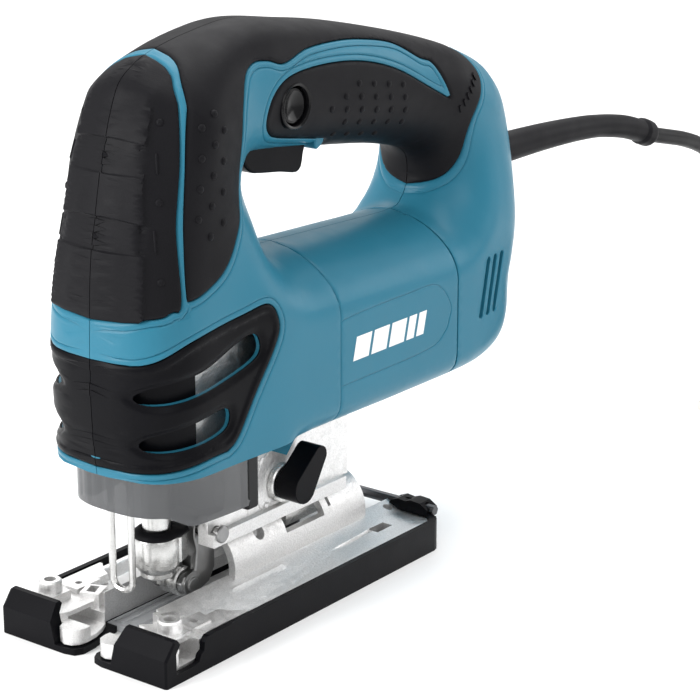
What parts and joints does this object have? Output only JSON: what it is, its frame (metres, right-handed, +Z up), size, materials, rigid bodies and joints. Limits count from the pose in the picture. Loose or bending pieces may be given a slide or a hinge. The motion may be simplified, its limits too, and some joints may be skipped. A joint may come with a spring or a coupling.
{
  "type": "jigsaw power tool",
  "caption": "Corded top-handle jigsaw: clamshell body with soft grips, rod-driven blade clamp, roller yoke, tilting base with cover, smoked dust cover and coiled mains lead.",
  "frame": {"origin": "bottom centre of the tool without its lead: on the sole plane, on the plane of symmetry, midway between the base front and the housing rear", "axes": "+Z up from the sole, -Y towards the blade end, +X the side of the orbital lever"},
  "size_m": [0.1477, 0.5199, 0.2069],
  "materials": {
    "blue": "satin moulded teal-blue",
    "soft": "soft over-moulded grip, fine texture",
    "black": "moulded black",
    "cast": "die cast, fine granular",
    "steel": "ground steel",
    "dark_steel": "blackened steel",
    "copper": "copper windings and segments",
    "bronze": "sintered bronze",
    "brass": "brass",
    "carbon": "pressed carbon",
    "smoked": "smoked clear plastic",
    "cord": "rubber sheath",
    "pin": "plated pin"
  },
  "bodies": {
    "body": {"housing_left": "blue", "housing_right": "blue", "motor_housing": "blue", "grip_pad_left": "soft", "grip_pad_right": "soft", "nose_pad_left": "soft", "nose_pad_right": "soft", "vent_cover_left": "black", "vent_cover_right": "black", "gear_housing": "cast", "lower_bush": "bronze", "upper_bush": "bronze", "field_core": "dark_steel", "front_bearing": "steel", "rear_bearing": "steel", "brush_holder_left": "brass", "brush_holder_right": "brass", "carbon_brush_left": "carbon", "carbon_brush_right": "carbon", "gear_spindle": "steel", "yoke_pin": "steel", "wire_guard": "steel", "switch": "black", "clamp_shoe": "steel", "base_bolt": "dark_steel", "cord_guard": "soft", "cord_lead": "cord", "cord_coil": "cord", "cord_tail": "cord", "plug_body": "black", "plug_pin_1": "pin", "plug_pin_2": "pin", "housing_screw_1": "dark_steel", "housing_screw_2": "dark_steel", "housing_screw_3": "dark_steel", "housing_screw_4": "dark_steel", "housing_screw_5": "dark_steel"},
    "trigger": {"trigger": "black"},
    "lock": {"lock_button": "black"},
    "orbit": {"orbital_lever": "black", "orbital_shaft": "steel"},
    "armature": {"armature_shaft": "steel", "armature_core": "copper", "commutator": "copper", "cooling_fan": "black", "pinion": "steel"},
    "gear": {"drive_gear": "steel"},
    "plunger": {"slider": "steel"},
    "weight": {"counterweight": "dark_steel"},
    "clamp": {"clamp_sleeve": "steel", "clamp_cap": "soft"},
    "yoke": {"roller_yoke": "dark_steel", "roller_pin": "steel"},
    "roller": {"roller": "steel"},
    "cover": {"dust_cover": "smoked"},
    "base": {"base_plate": "cast", "cover_plate": "black", "splinter_insert": "smoked", "wrench_clip": "black", "hex_wrench": "dark_steel"}
  },
  "joints": [
    {"name": "trigger_squeeze", "type": "hinge", "parent": "body", "child": "trigger", "pos_m": [0, -0.0385, 0.1635], "axis": [1, 0, 0], "range_deg": [0, 9], "stiffness_Nm_per_rad": 1.2, "springref_deg": -6.88},
    {"name": "lock_press", "type": "slide", "parent": "body", "child": "lock", "axis": [-1, 0, 0], "range_m": [0, 0.004], "stiffness_N_per_m": 400, "springref_m": -0.002},
    {"name": "orbital_select", "type": "hinge", "parent": "body", "child": "orbit", "pos_m": [0, -0.03, 0.0415], "axis": [1, 0, 0], "range_deg": [0, 90]},
    {"name": "armature_spin", "type": "hinge", "parent": "body", "child": "armature", "pos_m": [0, 0, 0.09], "axis": [0, 1, 0], "continuous": true},
    {"name": "gear_spin", "type": "hinge", "parent": "body", "child": "gear", "pos_m": [0, 0, 0.1125], "axis": [0, 1, 0], "continuous": true},
    {"name": "blade_stroke", "type": "slide", "parent": "body", "child": "plunger", "axis": [0, 0, 1], "range_m": [0, 0.026]},
    {"name": "weight_stroke", "type": "slide", "parent": "body", "child": "weight", "axis": [0, 0, 1], "range_m": [-0.0104, 0]},
    {"name": "clamp_turn", "type": "hinge", "parent": "plunger", "child": "clamp", "pos_m": [0, -0.0795, 0.022], "axis": [0, 0, 1], "range_deg": [0, 60], "stiffness_Nm_per_rad": 0.05, "springref_deg": -11.46},
    {"name": "yoke_swing", "type": "hinge", "parent": "body", "child": "yoke", "pos_m": [0, -0.0648, 0.033], "axis": [1, 0, 0], "range_deg": [-3, 0], "stiffness_Nm_per_rad": 5, "springref_deg": 5.73},
    {"name": "roller_spin", "type": "hinge", "parent": "yoke", "child": "roller", "pos_m": [0, -0.07, 0.0136], "axis": [1, 0, 0], "continuous": true},
    {"name": "dust_cover_slide", "type": "slide", "parent": "body", "child": "cover", "axis": [0, 0, 1], "range_m": [-0.006, 0]},
    {"name": "base_tilt", "type": "hinge", "parent": "body", "child": "base", "pos_m": [0, 0, 0.0155], "axis": [0, 1, 0], "range_deg": [-45, 45]}
  ],
  "couplings": [
    {"joint": "gear_spin", "follows": "armature_spin", "ratio": -0.26471},
    {"joint": "weight_stroke", "follows": "blade_stroke", "ratio": -0.4}
  ]
}
